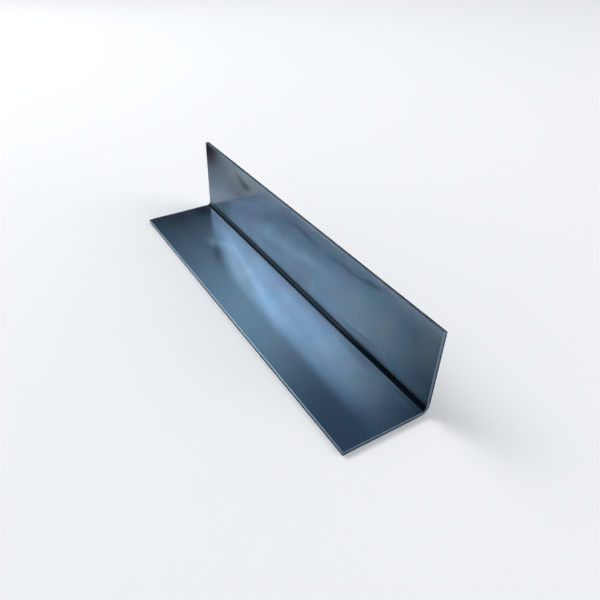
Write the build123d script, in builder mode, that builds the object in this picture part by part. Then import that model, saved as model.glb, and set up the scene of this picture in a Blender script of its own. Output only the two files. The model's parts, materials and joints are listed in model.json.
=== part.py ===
from build123d import *
import os

# Steel angle folded from one strip of sheet on a press brake.
# X runs along the angle and Z is up. The base leg lies flat, the upright leg stands along
# its +Y side, and the origin is the middle of the footprint.

# Strip and fold, in millimetres
length = 304.8  # sheared end to sheared end
base_leg = 63.5  # free edge of the base to the back of the upright
upright_leg = 63.5  # underside of the base to the top of the upright
sheet = 3.04  # 11 gauge sheet
inside_radius = 3.0  # left by the nose of the punch

# Sheared edges
rollover = 0.5  # rounding where the blade entered, all round the inner skin
burr_break = 0.2  # flat where the burr was dressed off, all round the outer skin

outside_radius = inside_radius + sheet  # both radii share one centre
heel = base_leg / 2  # back of the upright, measured from the origin


def inner_skin(part):
    """The faces inside the angle: base, bend and upright."""
    return [
        part.faces().filter_by(Axis.Z).group_by(Axis.Z)[1][0],
        part.faces().filter_by(GeomType.CYLINDER).sort_by(Axis.Y)[0],
        part.faces().filter_by(Axis.Y).group_by(Axis.Y)[1][0],
    ]


def outer_skin(part):
    """The faces outside the angle: base, bend and upright."""
    return [
        part.faces().filter_by(Axis.Z).sort_by(Axis.Z)[0],
        part.faces().filter_by(GeomType.CYLINDER).sort_by(Axis.Y)[-1],
        part.faces().filter_by(Axis.Y).sort_by(Axis.Y)[-1],
    ]


def rim(skin):
    """The sheared edges round a skin, without the lines where a leg runs into the bend."""
    edges = [edge for face in skin for edge in face.edges()]
    return [edge for edge in edges if edges.count(edge) == 1]


with BuildPart() as angle_section:
    # Section: the outer line of the fold, thickened inwards by the sheet
    with BuildSketch(Plane.YZ):
        with BuildLine():
            FilletPolyline((-heel, 0), (heel, 0), (heel, upright_leg), radius=outside_radius)
            offset(amount=sheet, side=Side.LEFT)
        make_face()
    extrude(amount=length / 2, both=True)

    # The shear leaves one side of the sheet rounded and the other with a burr
    chamfer(rim(outer_skin(angle_section)), length=burr_break)
    fillet(rim(inner_skin(angle_section)), radius=rollover)

angle_section.part.label = "angle_section"

os.makedirs("parts", exist_ok=True)
export_step(angle_section.part, "parts/angle_section.step")
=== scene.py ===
import json
import math

import bmesh
import bpy
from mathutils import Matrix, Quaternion, Vector, noise


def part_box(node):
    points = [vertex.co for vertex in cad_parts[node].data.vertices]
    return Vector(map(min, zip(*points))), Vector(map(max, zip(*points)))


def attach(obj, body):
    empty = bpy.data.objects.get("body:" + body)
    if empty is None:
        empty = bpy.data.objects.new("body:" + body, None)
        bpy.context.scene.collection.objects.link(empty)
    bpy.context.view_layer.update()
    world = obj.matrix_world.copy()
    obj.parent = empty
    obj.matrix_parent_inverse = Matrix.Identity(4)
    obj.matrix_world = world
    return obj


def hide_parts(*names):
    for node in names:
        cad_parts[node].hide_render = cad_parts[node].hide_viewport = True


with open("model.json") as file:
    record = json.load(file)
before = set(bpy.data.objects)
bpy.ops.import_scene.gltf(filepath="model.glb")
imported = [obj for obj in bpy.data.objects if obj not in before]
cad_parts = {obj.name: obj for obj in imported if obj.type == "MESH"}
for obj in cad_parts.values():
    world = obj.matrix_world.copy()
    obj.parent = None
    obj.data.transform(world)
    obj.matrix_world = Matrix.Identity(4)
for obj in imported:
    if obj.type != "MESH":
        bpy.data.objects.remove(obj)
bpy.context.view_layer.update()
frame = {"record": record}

mm = 0.001  # the scene is in metres


# sRGB hex, as a colour picker shows it, to the linear colour that a shader wants
def linear(hexColour):
    channels = [int(hexColour[i:i + 2], 16) / 255 for i in (1, 3, 5)]
    return [c / 12.92 if c <= 0.04045 else ((c + 0.055) / 1.055) ** 2.4 for c in channels] + [1.0]


# a socket by its number, or the one in use by its name (Mix keeps unused ones of the same name)
def socketOf(sockets, name):
    if isinstance(name, int):
        return sockets[name]
    return next(socket for socket in sockets if socket.name == name and socket.enabled)


# links take a socket, or a node that stands for its first output in use
def addNode(tree, kind, settings={}, links={}):
    node = tree.nodes.new("ShaderNode" + kind)
    for name, value in settings.items():
        if isinstance(name, str) and hasattr(node, name):
            setattr(node, name, value)
        else:
            socketOf(node.inputs, name).default_value = value
    for name, source in links.items():
        if isinstance(source, bpy.types.Node):
            source = next(output for output in source.outputs if output.enabled)
        tree.links.new(source, socketOf(node.inputs, name))
    return node


def newMaterial(name):
    material = bpy.data.materials.new(name)
    material.use_nodes = True
    material.node_tree.nodes.clear()
    return material, material.node_tree


nodeLow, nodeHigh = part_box("angle_section")
baseInside = next(mount for mount in frame["record"]["mounts"] if mount["name"] == "base_inside")

# the angle: one strip of sheet, sheared and then folded once
angle = {
    "length": nodeHigh.x - nodeLow.x,
    "baseLeg": nodeHigh.y - nodeLow.y,
    "uprightLeg": nodeHigh.z - nodeLow.z,
    "sheet": baseInside["pos_m"][2],    # the flat leg's inner face lies one sheet above the floor
    "insideRadius": 3.0 * mm,
    "neutralLine": 0.44,            # where the sheet keeps its length in the bend, as a share of it
    "springback": 1.0,              # degrees the fold opened when the punch let go
    "rolloverWidth": 0.35 * mm,     # the blade pulled the inner skin's edge down
    "rolloverDepth": 0.28 * mm,
    "endRollover": 0.6,             # shares of that on the two ends, and on the top rim, which was
    "topRollover": 0.25,            # cut by a keener blade
    "land": 0.56,                   # share of the sheet that the blade cut and polished
    "topLand": 0.60,
    "fractureRecess": 0.05 * mm,    # past the land the steel tore, a little inside the cut
    "fractureStart": 0.4,           # share of that recess at the land's end; it slopes in from there
    "burrBreak": 0.2 * mm,          # the burr on the outer skin is dressed off
    "unevenLength": 14 * mm,        # the cut varies along the rim, in waves of about this length:
    "unevenDrop": 0.25,             # the rollover by this share of itself,
    "unevenLand": 0.06,             # the land's end by this share of the sheet
    "unevenRecess": 0.5,            # and the recess by this share of itself
    "drawIn": 0.2 * mm,             # the outer skin stretches in the bend and shortens at its ends
    "drawInReach": 2.5 * mm,
    "wave": 0.12 * mm,              # a rolled sheet is never quite flat
    "waveLength": 90 * mm,
    "waveSquash": 1.4,              # across the blank the waves are this much shorter
    "waveSeed": 3.7,
    "waveFade": 20 * mm,            # the rims are straight, and the wave grows over this far from them
    "crown": 0.22 * mm,             # shearing left the flat leg a little crowned along its free side
    "crownMiddle": 10 * mm,         # from the free rim
    "crownReach": 24 * mm,
    "gridStep": 4 * mm,
    "rimLines": (0, 0.4 * mm, 1.0 * mm, 2.0 * mm),      # grid lines this far inside each rim
    "bendClear": 1.5 * mm,          # the even grid stops this short of the bend's own lines
    "bendSteps": 20,
    "cornerSteps": 4,
    "weld": 0.001 * mm,             # points nearer than this become one
}


# the blank before it is folded, measured across from the flat leg's free rim
def blankSizes(a):
    sizes = {"outsideRadius": a["insideRadius"] + a["sheet"]}
    sizes["baseFlat"] = a["baseLeg"] - sizes["outsideRadius"]
    sizes["uprightFlat"] = a["uprightLeg"] - sizes["outsideRadius"]
    sizes["bend"] = math.pi / 2 * (a["insideRadius"] + a["neutralLine"] * a["sheet"])
    sizes["width"] = sizes["baseFlat"] + sizes["bend"] + sizes["uprightFlat"]
    sizes["bendMiddle"] = sizes["baseFlat"] + sizes["bend"] / 2
    return sizes


blank = blankSizes(angle)


# a point of the blank (along, across, depth below the inner skin) to its place on the folded angle
def fold(along, across, depth):
    heel = angle["baseLeg"] / 2
    centreY, centreZ = heel - blank["outsideRadius"], blank["outsideRadius"]
    if across <= blank["baseFlat"]:
        y, z = across - heel, angle["sheet"] - depth
    elif across >= blank["baseFlat"] + blank["bend"]:
        y, z = heel - angle["sheet"] + depth, centreZ + across - blank["baseFlat"] - blank["bend"]
    else:
        turn = (across - blank["baseFlat"]) / blank["bend"] * math.pi / 2
        radius = angle["insideRadius"] + depth
        y, z = centreY + radius * math.sin(turn), centreZ - radius * math.cos(turn)
    # springback moves the heel in from both sides and leaves the two free rims where they are
    slack = math.tan(math.radians(angle["springback"] / 2))
    fromToe, fromTop = y + heel, angle["uprightLeg"] - z
    return Vector((along, y - slack * fromTop * fromToe / angle["baseLeg"],
                   z + slack * fromToe * fromTop / angle["uprightLeg"]))


def crownArch(across):
    fromCrown = min(1, abs(across - angle["crownMiddle"]) / angle["crownReach"])
    return angle["crown"] * math.cos(math.pi / 2 * fromCrown) ** 2


# the flat leg leans a little with its crown, so that its free rim stays on the floor
def crownRise(across):
    return crownArch(across) - crownArch(0) * max(0, 1 - across / blank["bendMiddle"])


# grid lines from one rim to the other: close together beside the rims, then evenly spaced
def gridLines(start, end, step):
    nearRim = angle["rimLines"]
    first, span = start + nearRim[-1], end - start - 2 * nearRim[-1]
    count = max(2, round(span / step))
    inner = [first + span * k / count for k in range(1, count)]
    return [start + gap for gap in nearRim] + inner + [end - gap for gap in reversed(nearRim)]


def acrossGrid(width):
    bendStart, bendEnd = blank["baseFlat"], blank["baseFlat"] + blank["bend"]
    lines = [s for s in gridLines(width, blank["width"] - width, angle["gridStep"])
             if s < bendStart - angle["bendClear"] or s > bendEnd + angle["bendClear"]]
    lines += [bendStart + blank["bend"] * k / angle["bendSteps"] for k in range(angle["bendSteps"] + 1)]
    return sorted(lines)


# the rim from the inner skin to the outer one, as (inset from the sheared edge, depth) pairs;
# topRim is 1 on the upright's top rim and endRim on the two ends, and both are 0 on the rest
def rimLevels(a, unevenness, topRim, endRim):
    rolloverSteps, landSteps, fractureSteps = 6, 2, 5
    rollover = 1 + (a["topRollover"] - 1) * topRim + (a["endRollover"] - 1) * endRim
    land = a["land"] + (a["topLand"] - a["land"]) * topRim
    width = a["rolloverWidth"] * rollover
    drop = a["rolloverDepth"] * rollover * (1 + a["unevenDrop"] * unevenness)
    landEnd = a["sheet"] * (land + a["unevenLand"] * unevenness)
    tearEnd = a["sheet"] - a["burrBreak"]
    levels = []
    for k in range(rolloverSteps):
        turn = math.pi / 2 * k / (rolloverSteps - 1)
        levels.append((width * (1 - math.sin(turn)), drop * (1 - math.cos(turn))))
    for k in range(1, landSteps + 1):
        levels.append((0, drop + (landEnd - drop) * k / landSteps))
    for k in range(1, fractureSteps + 1):
        share = k / fractureSteps
        recess = a["fractureRecess"] * (a["fractureStart"] + share) * (1 + a["unevenRecess"] * unevenness)
        levels.append((recess, landEnd + (tearEnd - landEnd) * share))
    levels.append((a["fractureRecess"] + a["burrBreak"], a["sheet"]))
    return levels, rolloverSteps


# every place round the blank's edge: its grid corner and the way out to the sheared edge
def rimStations(countAlong, countAcross):
    lastX, lastS = countAlong - 1, countAcross - 1
    sides = [
        ([(i, 0) for i in range(countAlong)], -90),
        ([(lastX, j) for j in range(countAcross)], 0),
        ([(i, lastS) for i in range(lastX, -1, -1)], 90),
        ([(0, j) for j in range(lastS, -1, -1)], 180),
    ]
    stations = []
    for cells, heading in sides:
        stations += [(cell, math.radians(heading)) for cell in cells]
        for k in range(1, angle["cornerSteps"]):
            turn = heading + 90 * k / angle["cornerSteps"]
            stations.append((cells[-1], math.radians(turn)))
    return stations


# the side of the sheet all round: each column of points is joined to the next
def joinColumns(bm, columns, rolloverSteps):
    for here, there in zip(columns, columns[1:] + columns[:1]):
        for level in range(len(here) - 1):
            corners = [here[level], there[level], there[level + 1], here[level + 1]]
            corners = [v for k, v in enumerate(corners) if v is not corners[k - 1]]
            if len(corners) < 3:
                continue
            face = bm.faces.new(corners)
            # the rollover and the dressed burr keep their scale, and the cut between them is bare
            bare = rolloverSteps <= level < len(here) - 2
            face.material_index = 1 if bare else 0
        for level in (len(here) - 3, len(here) - 2):    # the two edges of the dressed burr
            edge = bm.edges.get((here[level], there[level]))
            if edge:
                edge.smooth = False


def buildAngle():
    width = angle["rolloverWidth"]
    half = angle["length"] / 2
    alongLines = gridLines(-half + width, half - width, angle["gridStep"])
    acrossLines = acrossGrid(width)

    bm = bmesh.new()
    blankLayer = bm.verts.layers.float_vector.new("blank")
    rimLayer = bm.verts.layers.float.new("toRim")

    def addVertex(along, across, depth):
        toRim = min(half - abs(along), across, blank["width"] - across)
        nearBend = math.exp(-((across - blank["bendMiddle"]) / blank["bend"]) ** 2)
        nearEnd = math.exp(-(half - abs(along)) / angle["drawInReach"])
        fade = min(1, max(0, toRim / angle["waveFade"])) ** 2 * (1 - nearBend)
        swell = noise.noise(Vector((along, across * angle["waveSquash"], angle["waveSeed"]))
                            / angle["waveLength"])
        rise = angle["wave"] * fade * (0.5 + 0.5 * swell) + crownRise(across)
        short = angle["drawIn"] * depth / angle["sheet"] * nearBend * nearEnd
        vertex = bm.verts.new(fold(along - math.copysign(short, along), across, depth - rise))
        vertex[blankLayer] = (along, across, depth)
        vertex[rimLayer] = toRim
        return vertex

    inner = [[addVertex(x, s, 0) for s in acrossLines] for x in alongLines]
    outer = [[addVertex(x, s, angle["sheet"]) for s in acrossLines] for x in alongLines]
    for grid in (inner, outer):
        for i in range(len(alongLines) - 1):
            for j in range(len(acrossLines) - 1):
                bm.faces.new((grid[i][j], grid[i + 1][j], grid[i + 1][j + 1], grid[i][j + 1]))

    columns = []
    for (i, j), heading in rimStations(len(alongLines), len(acrossLines)):
        x, s = alongLines[i], acrossLines[j]
        unevenness = noise.noise(Vector((x, s, 0)) / angle["unevenLength"])
        topRim = max(0, math.sin(heading)) if s > blank["width"] / 2 else 0
        levels, rolloverSteps = rimLevels(angle, unevenness, topRim, 1 - abs(math.sin(heading)))
        column = [inner[i][j]]
        for inset, depth in levels:
            out = width - inset
            column.append(addVertex(x + out * math.cos(heading), s + out * math.sin(heading), depth))
        columns.append(column + [outer[i][j]])
    joinColumns(bm, columns, rolloverSteps)

    bmesh.ops.remove_doubles(bm, verts=bm.verts, dist=angle["weld"])
    bmesh.ops.recalc_face_normals(bm, faces=bm.faces)
    for face in bm.faces:
        face.smooth = True
    mesh = bpy.data.meshes.new("angleSection")
    bm.to_mesh(mesh)
    bm.free()
    piece = bpy.data.objects.new("angleSection", mesh)
    bpy.context.scene.collection.objects.link(piece)
    return piece


# Mill scale: the thin blue-grey oxide that hot-rolled steel leaves the mill with. It shines like
# satin, so each leg mirrors the other softly, and it clouds to violet, teal and olive where the
# oxide is thicker or thinner.
millScale = {
    # the two legs are one sheet; their two tones are painted reflection, the flat leg mirroring the dim blue
    # sky and the upright the pale floor
    "flatColour": "#6E8393",    # painted bluer and darker than the upright: painted reflection of the dim sky
    "uprightColour": "#828D98",
    "colourBlend": 20 * mm,     # the two meet over this far each side of the fold
    # size and shift are in mm, and start and full are where in the noise a cloud begins and is full
    "clouds": [
        {"colour": "#63808E", "size": 26, "shift": (0, 0), "start": 0.38, "full": 0.7, "strength": 0.7},
        {"colour": "#77788E", "size": 26, "shift": (310, 217), "start": 0.48, "full": 0.75, "strength": 0.6},
        {"colour": "#76807A", "size": 21, "shift": (770, 539), "start": 0.52, "full": 0.8, "strength": 0.5},
    ],
    # stains and painted light on the inner skin: most marks stand in for light, the pale ones as painted
    # highlights and reflections of the other leg, the dark ones as painted shade and dark reflections, such
    # as the thin dark lines up the upright for the flat leg's free rim mirrored there and the dark far top
    # corner.
    # at and half, its reach each way, are in mm along the angle and across the blank from the flat leg's free
    # rim, a turn is in degrees, and edge is how much the patch still mirrors at a flat angle
    "marks": [
        {"at": (-137, 106), "half": (80, 32), "turn": 25, "colour": "#86939A", "strength": 0.6, "edge": 0},
        # the dark far top corner: a painted dark reflection
        {"at": (-152, 122), "half": (44, 30), "turn": 14, "colour": "#7A706C", "strength": 1, "edge": 0},
        {"at": (-142, 80), "half": (40, 15), "turn": 27, "colour": "#5C7898", "strength": 0.5},
        {"at": (-90, 104), "half": (40, 14), "turn": 22, "colour": "#90969E", "strength": 0.5, "edge": 0},
        {"at": (-79, 112), "half": (19, 6.5), "turn": -12, "colour": "#667064", "strength": 0.6, "edge": 0.1},
        {"at": (-112, 91), "half": (42, 12), "turn": 27, "colour": "#8084A4", "strength": 0.35},
        {"at": (-98, 85), "half": (56, 4), "turn": 30.5, "colour": "#B4C2CE", "strength": 0.35},
        {"at": (-2, 96), "half": (62, 10), "turn": 10, "colour": "#546A74", "strength": 0.55},
        {"at": (-46, 108), "half": (48, 9), "turn": 25, "colour": "#A9BACB", "strength": 0.55},
        # thin dark lines up the upright: painted reflection of the flat leg's free rim
        {"at": (10, 112), "half": (32, 3.2), "turn": -3, "colour": "#333F47", "strength": 0.5},
        {"at": (62, 112), "half": (34, 3.2), "turn": 1, "colour": "#333F47", "strength": 0.45},
        {"at": (90, 115.5), "half": (24, 3), "turn": 13, "colour": "#29333A", "strength": 0.6},
        {"at": (42, 91), "half": (28, 14), "turn": 30, "colour": "#A2A8AA", "strength": 0.35},
        {"at": (94, 90), "half": (50, 28), "turn": 4, "colour": "#9A9D9A", "strength": 0.5},
        {"at": (148, 108), "half": (17, 25), "turn": 0, "colour": "#A2A2A2", "strength": 0.6},
        {"at": (4, 70), "half": (56, 9), "turn": 0, "colour": "#4A5256", "strength": 0.35},
        {"at": (84, 71.5), "half": (34, 2.2), "turn": 5, "colour": "#2F3A42", "strength": 0.5},
        # dark patches by the fold at the far end: painted shade
        {"at": (-124, 69), "half": (22, 7), "turn": 12, "colour": "#3A5A46", "strength": 0.5},
        {"at": (-128, 54), "half": (26, 5), "turn": -8, "colour": "#2E3B49", "strength": 0.5},
        {"at": (-146, 50), "half": (16, 12), "turn": -20, "colour": "#182638", "strength": 0.75},
        # pale patches on the flat leg: painted highlight, the lit upright mirrored in it
        {"at": (-56, 35), "half": (70, 13), "turn": -8, "colour": "#B4C9D2", "strength": 0.5},
        {"at": (-84, 36), "half": (15, 9), "turn": 0, "colour": "#AECBD8", "strength": 0.45},
        {"at": (63, 44), "half": (24, 13), "turn": 10, "colour": "#7A8696", "strength": 0.25},
        {"at": (134, 38), "half": (30, 26), "turn": 0, "colour": "#6C7C9C", "strength": 0.3},
        # pale line beside the fold on the flat leg: painted highlight
        {"at": (132, 55.5), "half": (36, 4.5), "turn": 0, "colour": "#9FB2C4", "strength": 0.5},
    ],
    "markCore": 0.15,           # a mark is at its full strength out to this share of its reach
    "markWander": (18, 5, 2.5),     # size of its wobble, and how far it goes along and across, in mm
    "crushed": "#08111A",       # the punch crushed the scale in the fold, and it is painted darker still as shade
    "crushedRoughness": 0.5,
    "crushedEdge": 0.2,         # how much it still mirrors at a flat angle
    "crushDull": 0.6,           # it is dull only where it is crushed more than this
    "crushStart": -1.0 * mm,    # across from the bend's start: it begins here,
    "crushFull": 1.6 * mm,      # is full here,
    "crushHold": 2.8 * mm,      # starts to fade here
    "crushEnd": 15 * mm,        # and is gone here, up the upright
    "crushFade": 1.7,           # over 1 fades fast at first and slowly at last
    "hardFrom": 50 * mm,        # along the angle the band shifts from here to here, and past that the dark band starts this much later, so it is sharper, and ends this much higher
    "hardTo": 120 * mm,         # to here, and past that the dark band
    "hardStart": 1.4 * mm,      # starts this much later, so it is sharper,
    "hardEnd": 2.8 * mm,        # and ends this much higher
    "worn": "#A9B8C4",          # handling polished the rims
    "wornWidth": 0.3 * mm,
    "wornStrength": 0.12,
    "grain": 0.9 * mm,          # the real grain is about 0.2 mm; drawn coarser to show
    "grainSpan": (0.38, 0.62),  # most of the noise lies between these
    "grainDepth": 0.006 * mm,
    "grainStrength": 0.6,
    "speckle": "#4A5F78",
    "speckleStrength": 0.55,
    "satin": (0.15, 0.20),      # roughness in the grain's hollows and on its tops
}


# one kind of oxide laid over what is under it, in soft clouds
def oxideClouds(tree, place, under, cloud):
    shiftAlong, shiftAcross = cloud["shift"]
    moved = addNode(tree, "VectorMath", {"operation": "ADD", 1: (shiftAlong * mm, shiftAcross * mm, 0)},
                    {0: place})
    billow = addNode(tree, "TexNoise", {"Scale": 1 / (cloud["size"] * mm), "Detail": 3.0},
                     {"Vector": moved})
    amount = addNode(tree, "MapRange", {
        "interpolation_type": "SMOOTHSTEP", "From Min": cloud["start"], "From Max": cloud["full"],
        "To Max": cloud["strength"]}, {"Value": billow})
    return addNode(tree, "Mix", {"data_type": "RGBA", "B": linear(cloud["colour"])},
                   {"A": under, "Factor": amount})


# how strong one stretched soft spot is; its reach through the sheet ends before the outer skin
def spotAmount(tree, place, mark, core):
    (along, across), (halfLong, halfWide) = mark["at"], mark["half"]
    spot = addNode(tree, "Mapping", {
        "vector_type": "TEXTURE", "Location": (along * mm, across * mm, 0),
        "Rotation": (0, 0, math.radians(mark["turn"])),
        "Scale": (halfLong * mm, halfWide * mm, angle["sheet"] / 2)}, {"Vector": place})
    reach = addNode(tree, "VectorMath", {"operation": "LENGTH"}, {0: spot})
    return addNode(tree, "MapRange", {
        "interpolation_type": "SMOOTHSTEP", "From Min": core, "From Max": 1.0,
        "To Min": mark["strength"], "To Max": 0.0}, {"Value": reach})


# the stains and painted light laid over the colour, with the edge tint that goes with them
def layStainsAndPaintedLight(tree, place, colour, m):
    wobble, reachAlong, reachAcross = m["markWander"]
    wander = addNode(tree, "TexNoise", {"Scale": 1 / (wobble * mm), "Detail": 3.0, "normalize": False},
                     {"Vector": place}).outputs["Color"]
    moved = addNode(tree, "VectorMath", {
        "operation": "MULTIPLY_ADD", 1: (reachAlong * mm, reachAcross * mm, 0)}, {0: wander, 2: place})
    edgeTint = None
    for mark in m["marks"]:
        amount = spotAmount(tree, moved, mark, m["markCore"])
        colour = addNode(tree, "Mix", {"data_type": "RGBA", "B": linear(mark["colour"])},
                         {"A": colour, "Factor": amount})
        if "edge" in mark:
            under = {"A": edgeTint} if edgeTint else {}     # the first is laid on the full tint, 1
            edgeTint = addNode(tree, "Mix", {"data_type": "FLOAT", "A": 1.0, "B": mark["edge"]},
                               {**under, "Factor": amount})
    return colour, edgeTint


# how dark the fold is: a band of crushed scale and painted shade in the fold, which fades out up the upright
def crushAndFoldShade(tree, along, across, depth, m):
    bendStart = blank["baseFlat"]
    bandShift = addNode(tree, "MapRange", {
        "interpolation_type": "SMOOTHSTEP", "From Min": m["hardFrom"], "From Max": m["hardTo"]},
        {"Value": along})
    start = addNode(tree, "Math", {
        "operation": "MULTIPLY_ADD", 1: m["hardStart"], 2: bendStart + m["crushStart"]}, {0: bandShift})
    begins = addNode(tree, "MapRange", {
        "interpolation_type": "SMOOTHSTEP", "From Max": bendStart + m["crushFull"]},
        {"Value": across, "From Min": start})
    up = addNode(tree, "Math", {"operation": "MULTIPLY_ADD", 1: -m["hardEnd"]}, {0: bandShift, 2: across})
    fades = addNode(tree, "MapRange", {
        "From Min": bendStart + m["crushHold"], "From Max": bendStart + m["crushEnd"],
        "To Min": 1.0, "To Max": 0.0}, {"Value": up})
    fades = addNode(tree, "Math", {"operation": "POWER", 1: m["crushFade"]}, {0: fades})
    inside = addNode(tree, "Math", {"operation": "LESS_THAN", 1: angle["sheet"] / 2}, {0: depth})
    crushed = addNode(tree, "Math", {"operation": "MULTIPLY"}, {0: begins, 1: fades})
    return addNode(tree, "Math", {"operation": "MULTIPLY"}, {0: crushed, 1: inside})


def makeMillScale(m):
    material, tree = newMaterial("hotRolledMillScale")
    place = addNode(tree, "Attribute", {"attribute_name": "blank"}).outputs["Vector"]
    toRim = addNode(tree, "Attribute", {"attribute_name": "toRim"}).outputs["Fac"]
    along, across, depth = addNode(tree, "SeparateXYZ", links={"Vector": place}).outputs

    # the legs' two tones, a painted reflection, meet at the fold
    side = addNode(tree, "MapRange", {
        "interpolation_type": "SMOOTHSTEP", "From Min": blank["bendMiddle"] - m["colourBlend"],
        "From Max": blank["bendMiddle"] + m["colourBlend"]}, {"Value": across})
    colour = addNode(tree, "Mix", {
        "data_type": "RGBA", "A": linear(m["flatColour"]), "B": linear(m["uprightColour"])},
        {"Factor": side})
    for cloud in m["clouds"]:
        colour = oxideClouds(tree, place, colour, cloud)
    # stains, and painted highlights, reflections and shade, laid over the oxide
    colour, edgeTint = layStainsAndPaintedLight(tree, place, colour, m)

    # fine grain, bluer where it stands up
    grain = addNode(tree, "TexNoise", {"Scale": 1 / m["grain"], "Detail": 2.0}, {"Vector": place})
    grainLow, grainHigh = m["grainSpan"]
    speckle = addNode(tree, "MapRange", {
        "From Min": grainLow, "From Max": grainHigh, "To Max": m["speckleStrength"]}, {"Value": grain})
    colour = addNode(tree, "Mix", {"data_type": "RGBA", "B": linear(m["speckle"])},
                     {"A": colour, "Factor": speckle})

    # the fold's dark band: crushed scale and painted shade
    crushed = crushAndFoldShade(tree, along, across, depth, m)
    colour = addNode(tree, "Mix", {"data_type": "RGBA", "B": linear(m["crushed"])},
                     {"A": colour, "Factor": crushed})

    # a thin worn line along the rims
    worn = addNode(tree, "MapRange", {
        "interpolation_type": "SMOOTHSTEP", "From Max": m["wornWidth"], "To Min": m["wornStrength"],
        "To Max": 0.0}, {"Value": toRim})
    colour = addNode(tree, "Mix", {"data_type": "RGBA", "B": linear(m["worn"])},
                     {"A": colour, "Factor": worn})

    # satin that varies with the grain, and dull where the scale is crushed
    hollow, top = m["satin"]
    satin = addNode(tree, "MapRange", {
        "From Min": grainLow, "From Max": grainHigh, "To Min": hollow, "To Max": top}, {"Value": grain})
    dull = addNode(tree, "MapRange", {"From Min": m["crushDull"]}, {"Value": crushed})
    rough = addNode(tree, "Mix", {"data_type": "FLOAT", "B": m["crushedRoughness"]},
                    {"A": satin, "Factor": dull})
    edgeTint = addNode(tree, "Mix", {"data_type": "FLOAT", "B": m["crushedEdge"]},
                       {"A": edgeTint, "Factor": dull})
    bump = addNode(tree, "Bump", {"Strength": m["grainStrength"], "Distance": m["grainDepth"]},
                   {"Height": grain})
    shader = addNode(tree, "BsdfPrincipled", {"Metallic": 1.0},
                     {"Base Color": colour, "Roughness": rough, "Specular Tint": edgeTint, "Normal": bump})
    addNode(tree, "OutputMaterial", links={"Surface": shader})
    return material


# Sheared edge: bare steel, polished by the blade over most of the sheet and torn past that, which
# shows as a smooth grey band with a dark line along the outer skin: torn steel, painted near black
# as painted shade and dark reflection along that edge.
shearedSteel = {
    "polished": "#62758A",
    "topPolished": "#8295A4",   # the top rim painted lighter: painted reflection of what it mirrors facing up
    # painted near black: torn steel with painted shade and dark reflection
    "torn": "#181C20",
    "polishedRoughness": 0.35,
    "tornRoughness": 0.55,
    "tearWander": 4 * mm,       # how far apart the tear line's waves are, and how high they run
    "tearHeight": 0.9 * mm,
    "tearEdge": 0.25 * mm,      # how soft the line is
    "tearGrain": 0.5 * mm,      # the torn steel's grain, and its depth
    "tearDepth": 0.05 * mm,
    "tearStrength": 0.8,
}


def makeShearedSteel(m):
    material, tree = newMaterial("shearedBareSteel")
    place = addNode(tree, "Attribute", {"attribute_name": "blank"}).outputs["Vector"]
    parts = addNode(tree, "SeparateXYZ", links={"Vector": place}).outputs
    topRim = addNode(tree, "Math", {
        "operation": "GREATER_THAN", 1: blank["width"] - angle["rolloverWidth"]}, {0: parts["Y"]})
    landEnd = addNode(tree, "MapRange", {
        "To Min": angle["land"] * angle["sheet"], "To Max": angle["topLand"] * angle["sheet"]},
        {"Value": topRim})
    pastLand = addNode(tree, "Math", {"operation": "SUBTRACT"}, {0: parts["Z"], 1: landEnd})
    # the noise is centred on 0, so the tear line wanders to both sides of the land's end
    wander = addNode(tree, "TexNoise", {
        "Scale": 1 / m["tearWander"], "Detail": 3.0, "normalize": False}, {"Vector": place})
    shifted = addNode(tree, "Math", {"operation": "MULTIPLY_ADD", 1: m["tearHeight"] / 2},
                      {0: wander, 2: pastLand})
    torn = addNode(tree, "MapRange", {
        "interpolation_type": "SMOOTHSTEP", "From Min": -m["tearEdge"] / 2, "From Max": m["tearEdge"] / 2},
        {"Value": shifted})
    # the top rim painted lighter than the others, for the light it mirrors facing up
    land = addNode(tree, "Mix", {
        "data_type": "RGBA", "A": linear(m["polished"]), "B": linear(m["topPolished"])},
        {"Factor": topRim})
    # the dark line along the outer skin: torn steel painted near black, as painted shade and dark reflection
    colour = addNode(tree, "Mix", {"data_type": "RGBA", "B": linear(m["torn"])},
                     {"A": land, "Factor": torn})
    rough = addNode(tree, "MapRange", {
        "To Min": m["polishedRoughness"], "To Max": m["tornRoughness"]}, {"Value": torn})
    tear = addNode(tree, "TexNoise", {
        "Scale": 1 / m["tearGrain"], "Detail": 5.0, "Roughness": 0.7}, {"Vector": place})
    bump = addNode(tree, "Bump", {"Strength": m["tearStrength"], "Distance": m["tearDepth"]},
                   {"Height": tear})
    shader = addNode(tree, "BsdfPrincipled", {"Metallic": 1.0},
                     {"Base Color": colour, "Roughness": rough, "Normal": bump})
    addNode(tree, "OutputMaterial", links={"Surface": shader})
    return material


angleSection = buildAngle()
angleSection.data.materials.append(makeMillScale(millScale))
angleSection.data.materials.append(makeShearedSteel(shearedSteel))
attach(angleSection, "root")
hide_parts("angle_section")
print("angle section: folded from one blank,", len(angleSection.data.polygons), "faces")


# Studio: a floor of matt white board, which takes a soft shadow and stays pale, and a sky that is
# white near the horizon, where the camera looks, and dim and blue above, where only steel mirrors it.
studio = {
    "floorSize": 12.0,
    "floorColour": "#F3F2F0",
    "floorDrop": 0.02 * mm,     # keeps it clear of the angle's underside
    "floorLift": 0.12,          # added for the camera and for reflections only, so it reads white
    "paleColour": "#FFFFFF",
    "paleStrength": 1.0,
    "paleBelow": 14,            # degrees above the horizon
    "dimColour": "#CBE3FF",
    "dimStrength": 0.3,
    "dimAbove": 30,
    "cardColour": "#1A2230",    # black flock, which swallows light and so leaves a dark reflection
    "cardAway": 1.6,            # it stands beyond the angle's far end
    "cardReach": (-0.2, 1.6),
    "cardHeight": 0.85,
}


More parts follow.
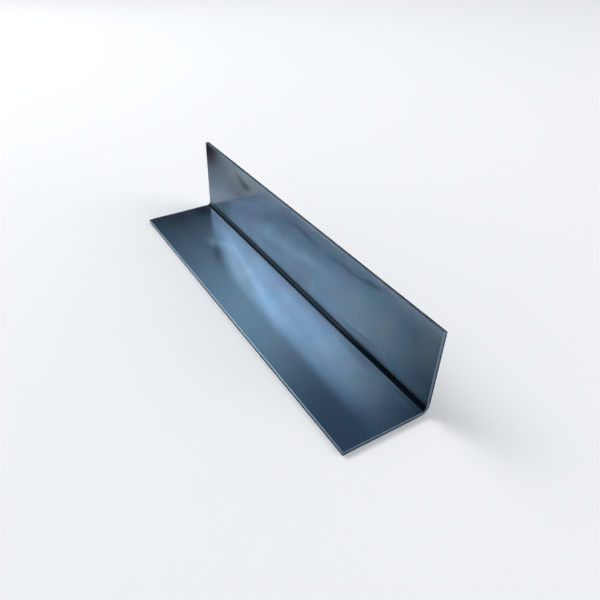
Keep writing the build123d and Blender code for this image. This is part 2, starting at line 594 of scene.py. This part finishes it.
def makeFloor(s):
    half = s["floorSize"] / 2
    mesh = bpy.data.meshes.new("floor")
    corners = [(-half, -half, 0), (half, -half, 0), (half, half, 0), (-half, half, 0)]
    mesh.from_pydata(corners, [], [(0, 1, 2, 3)])
    floor = bpy.data.objects.new("floor", mesh)
    floor.location.z = -s["floorDrop"]
    bpy.context.scene.collection.objects.link(floor)
    material, tree = newMaterial("paleStudioFloor")
    path = addNode(tree, "LightPath").outputs
    seen = addNode(tree, "Math", {"operation": "ADD"},
                   {0: path["Is Camera Ray"], 1: path["Is Glossy Ray"]})
    seen = addNode(tree, "Math", {"operation": "ADD"}, {0: seen, 1: path["Is Transmission Ray"]})
    lift = addNode(tree, "Math", {"operation": "MULTIPLY", 1: s["floorLift"]}, {0: seen})
    matt = addNode(tree, "BsdfDiffuse", {"Color": linear(s["floorColour"])})
    glow = addNode(tree, "Emission", links={"Strength": lift})
    both = addNode(tree, "AddShader", links={0: matt, 1: glow})
    addNode(tree, "OutputMaterial", links={"Surface": both})
    mesh.materials.append(material)


# a dark card that only reflections see
def makeCard(s):
    (near, far), top, left = s["cardReach"], s["cardHeight"], -s["cardAway"]
    mesh = bpy.data.meshes.new("darkCard")
    corners = [(left, near, 0), (left, far, 0), (left, far, top), (left, near, top)]
    mesh.from_pydata(corners, [], [(0, 1, 2, 3)])
    card = bpy.data.objects.new("darkCard", mesh)
    bpy.context.scene.collection.objects.link(card)
    material, tree = newMaterial("blackFlock")
    flock = addNode(tree, "BsdfDiffuse", {"Color": linear(s["cardColour"])})
    addNode(tree, "OutputMaterial", links={"Surface": flock})
    mesh.materials.append(material)
    card.visible_camera = False
    card.visible_shadow = False


def makeWorld(s):
    world = bpy.data.worlds.new("studio")
    bpy.context.scene.world = world
    world.use_nodes = True
    tree = world.node_tree
    tree.nodes.clear()
    way = addNode(tree, "TexCoord").outputs["Generated"]
    height = addNode(tree, "SeparateXYZ", links={"Vector": way}).outputs["Z"]
    dim = addNode(tree, "MapRange", {
        "interpolation_type": "SMOOTHSTEP", "From Min": math.sin(math.radians(s["paleBelow"])),
        "From Max": math.sin(math.radians(s["dimAbove"]))}, {"Value": height})
    colour = addNode(tree, "Mix", {
        "data_type": "RGBA", "A": linear(s["paleColour"]), "B": linear(s["dimColour"])},
        {"Factor": dim})
    strength = addNode(tree, "MapRange", {"To Min": s["paleStrength"], "To Max": s["dimStrength"]},
                       {"Value": dim})
    background = addNode(tree, "Background", links={"Color": colour, "Strength": strength})
    addNode(tree, "OutputWorld", links={"Surface": background})


# Softboxes that look at the origin. Heading is measured from +X towards +Y and height from the
# floor, in degrees. Brightness is the radiance in the middle of the box's face, so 1 looks like
# white paper, and it fades smoothly to nothing at the box's rim.
softboxes = {
    "keyBox": {"heading": 197, "height": 42, "distance": 3.0, "across": 2.7, "brightness": 9.6,
               "colour": "#FFFFFF"},
    "frontBox": {"heading": 223, "height": 37, "distance": 3.0, "across": 1.7, "brightness": 3.5,
                 "colour": "#FFF6E4"},
    "fillBox": {"heading": 156, "height": 39, "distance": 2.6, "across": 1.3, "brightness": 1.12,
                "colour": "#E7FBFF"},
    "backBox": {"heading": 45, "height": 30, "distance": 3.0, "across": 3.4, "brightness": 4.0,
                "colour": "#FFF7EC"},
}


def addSoftbox(name, box):
    lamp = bpy.data.lights.new(name, "AREA")
    lamp.shape = "SQUARE"
    lamp.size = box["across"]
    lamp.energy = box["brightness"] * math.pi * box["across"] ** 2
    lamp.color = linear(box["colour"])[:3]
    lamp.use_nodes = True
    tree = lamp.node_tree
    tree.nodes.clear()
    face = addNode(tree, "TexCoord").outputs["UV"]
    fromMiddle = addNode(tree, "VectorMath", {"operation": "DISTANCE", 1: (0.5, 0.5, 0)}, {0: face})
    fade = addNode(tree, "MapRange", {
        "interpolation_type": "SMOOTHSTEP", "From Max": 0.5, "To Min": 1.0, "To Max": 0.0},
        {"Value": fromMiddle})
    glow = addNode(tree, "Emission", links={"Strength": fade})
    addNode(tree, "OutputLight", links={"Surface": glow})
    lampObject = bpy.data.objects.new(name, lamp)
    heading, height = math.radians(box["heading"]), math.radians(box["height"])
    level = math.cos(height)
    way = Vector((math.cos(heading) * level, math.sin(heading) * level, math.sin(height)))
    lampObject.location = way * box["distance"]
    lampObject.rotation_mode = "QUATERNION"
    lampObject.rotation_quaternion = way.to_track_quat("Z", "Y")
    lampObject.visible_camera = False
    bpy.context.scene.collection.objects.link(lampObject)


camera = {
    "eye": (310.0 * mm, -162.9 * mm, 257.4 * mm),
    "aim": (36.5 * mm, 11.8 * mm, 0),
    "roll": 1.52,       # degrees
    "lens": 34.46,      # for a sensor this wide, both in mm
    "sensor": 36,
    "rise": 0.033,      # share of the frame that the view is shifted up
    "clip": (0.01, 60),
}


def addCamera(c):
    data = bpy.data.cameras.new("camera")
    data.lens = c["lens"]
    data.sensor_width = c["sensor"]
    data.shift_y = c["rise"]
    data.clip_start, data.clip_end = c["clip"]
    cameraObject = bpy.data.objects.new("camera", data)
    eye, aim = Vector(c["eye"]), Vector(c["aim"])
    cameraObject.location = eye
    cameraObject.rotation_mode = "QUATERNION"
    level = (aim - eye).to_track_quat("-Z", "Y")
    cameraObject.rotation_quaternion = level @ Quaternion((0, 0, 1), math.radians(c["roll"]))
    bpy.context.scene.collection.objects.link(cameraObject)
    bpy.context.scene.camera = cameraObject


makeFloor(studio)
makeCard(studio)
makeWorld(studio)
for name, box in softboxes.items():
    addSoftbox(name, box)
addCamera(camera)
bpy.context.scene.view_settings.view_transform = "Standard"
print("angle section: floor, lamps and camera set")
